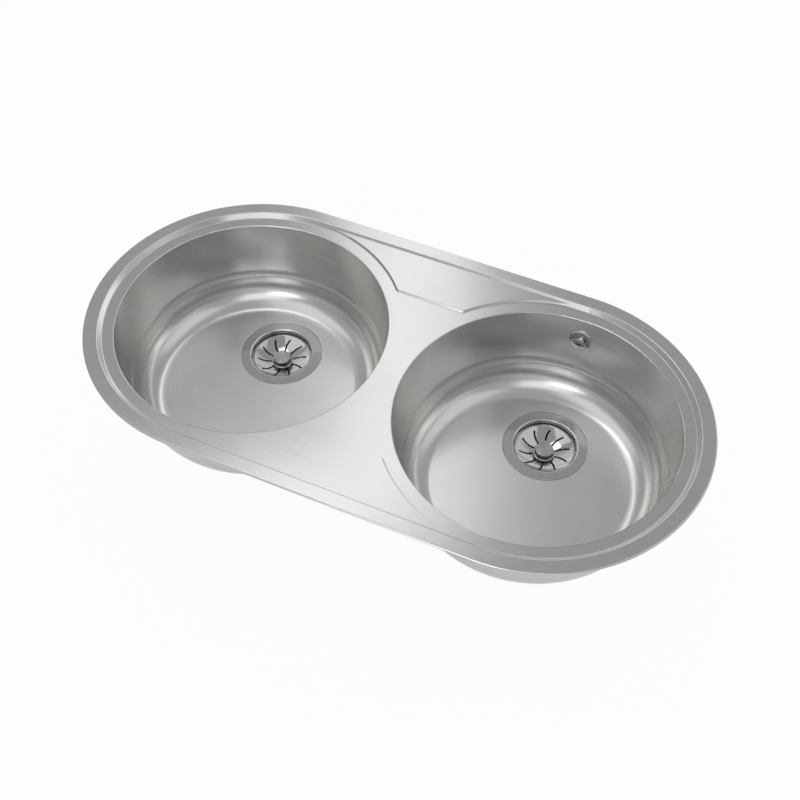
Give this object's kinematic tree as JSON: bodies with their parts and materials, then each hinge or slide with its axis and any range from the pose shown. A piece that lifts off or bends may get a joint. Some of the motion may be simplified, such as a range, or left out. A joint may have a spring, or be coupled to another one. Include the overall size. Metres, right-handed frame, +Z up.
{
  "type": "double bowl kitchen sink",
  "caption": "Stainless steel inset sink with two round bowls in a round-ended deck, basket wastes with lift-out strainers, an overflow and swinging clips under the deck.",
  "frame": {"origin": "centre of the sink, at the level of the worktop that its lip rests on", "axes": "+X along the sink's length to the bowl with the overflow, +Y to its back, +Z up"},
  "size_m": [0.84, 0.44, 0.208],
  "materials": {
    "satin_steel": "satin brushed stainless steel",
    "polished_steel": "bright polished stainless steel",
    "satin_knob": "turned satin stainless steel",
    "chrome": "polished chrome",
    "zinc_plate": "bright zinc-plated steel",
    "brass": "turned brass",
    "black_rubber": "matt moulded rubber",
    "foam": "closed-cell foam strip",
    "sound_pad": "sound-deadening pad",
    "white_plastic": "moulded polypropylene",
    "hose_plastic": "flexible ribbed plastic"
  },
  "bodies": {
    "root": {"deck": "satin_steel", "rim_seal": "foam", "left_bowl": "satin_steel", "left_sound_pad": "sound_pad", "left_strainer_flange": "polished_steel", "left_flange_seal": "black_rubber", "left_waste_seal": "black_rubber", "left_waste_body": "white_plastic", "left_clamp_insert": "brass", "left_clamp_screw": "polished_steel", "right_bowl": "satin_steel", "right_sound_pad": "sound_pad", "right_strainer_flange": "polished_steel", "right_flange_seal": "black_rubber", "right_waste_seal": "black_rubber", "right_waste_body": "white_plastic", "right_clamp_insert": "brass", "right_clamp_screw": "polished_steel", "overflow_grille": "chrome", "grille_screw": "chrome", "overflow_seal": "black_rubber", "overflow_elbow": "white_plastic", "overflow_hose": "hose_plastic", "upper_hose_nut": "white_plastic", "lower_hose_nut": "white_plastic", "clip_brackets": "zinc_plate", "clip_screws": "zinc_plate"},
    "left_strainer_basket": {"left_basket": "polished_steel"},
    "left_plug": {"left_basket_knob": "satin_knob", "left_basket_stem": "polished_steel", "left_stopper": "black_rubber"},
    "right_strainer_basket": {"right_basket": "polished_steel"},
    "right_plug": {"right_basket_knob": "satin_knob", "right_basket_stem": "polished_steel", "right_stopper": "black_rubber"},
    "clip_front_left_arm": {"clip_front_left": "zinc_plate"},
    "clip_front_right_arm": {"clip_front_right": "zinc_plate"},
    "clip_back_left_arm": {"clip_back_left": "zinc_plate"},
    "clip_back_right_arm": {"clip_back_right": "zinc_plate"},
    "clip_left_end_front_arm": {"clip_left_end_front": "zinc_plate"},
    "clip_left_end_back_arm": {"clip_left_end_back": "zinc_plate"},
    "clip_right_end_front_arm": {"clip_right_end_front": "zinc_plate"},
    "clip_right_end_back_arm": {"clip_right_end_back": "zinc_plate"}
  },
  "joints": [
    {"name": "left_basket_lift", "type": "slide", "parent": "root", "child": "left_strainer_basket", "axis": [0, 0, 1], "range_m": [0, 0.2]},
    {"name": "left_plug_pull", "type": "slide", "parent": "left_strainer_basket", "child": "left_plug", "axis": [0, 0, 1], "range_m": [0, 0.008]},
    {"name": "right_basket_lift", "type": "slide", "parent": "root", "child": "right_strainer_basket", "axis": [0, 0, 1], "range_m": [0, 0.2]},
    {"name": "right_plug_pull", "type": "slide", "parent": "right_strainer_basket", "child": "right_plug", "axis": [0, 0, 1], "range_m": [0, 0.008]},
    {"name": "clip_front_left_swing", "type": "hinge", "parent": "root", "child": "clip_front_left_arm", "pos_m": [-0.11, -0.1905, -0.0298], "axis": [0, 0, -1], "range_deg": [0, 90]},
    {"name": "clip_front_right_swing", "type": "hinge", "parent": "root", "child": "clip_front_right_arm", "pos_m": [0.11, -0.1905, -0.0298], "axis": [0, 0, -1], "range_deg": [0, 90]},
    {"name": "clip_back_left_swing", "type": "hinge", "parent": "root", "child": "clip_back_left_arm", "pos_m": [-0.11, 0.1905, -0.0298], "axis": [0, 0, -1], "range_deg": [0, 90]},
    {"name": "clip_back_right_swing", "type": "hinge", "parent": "root", "child": "clip_back_right_arm", "pos_m": [0.11, 0.1905, -0.0298], "axis": [0, 0, -1], "range_deg": [0, 90]},
    {"name": "clip_left_end_front_swing", "type": "hinge", "parent": "root", "child": "clip_left_end_front_arm", "pos_m": [-0.37265, -0.08051, -0.0328], "axis": [0, 0, -1], "range_deg": [0, 90]},
    {"name": "clip_left_end_back_swing", "type": "hinge", "parent": "root", "child": "clip_left_end_back_arm", "pos_m": [-0.37265, 0.08051, -0.0328], "axis": [0, 0, -1], "range_deg": [0, 90]},
    {"name": "clip_right_end_front_swing", "type": "hinge", "parent": "root", "child": "clip_right_end_front_arm", "pos_m": [0.37265, -0.08051, -0.0328], "axis": [0, 0, -1], "range_deg": [0, 90]},
    {"name": "clip_right_end_back_swing", "type": "hinge", "parent": "root", "child": "clip_right_end_back_arm", "pos_m": [0.37265, 0.08051, -0.0328], "axis": [0, 0, -1], "range_deg": [0, 90]}
  ]
}
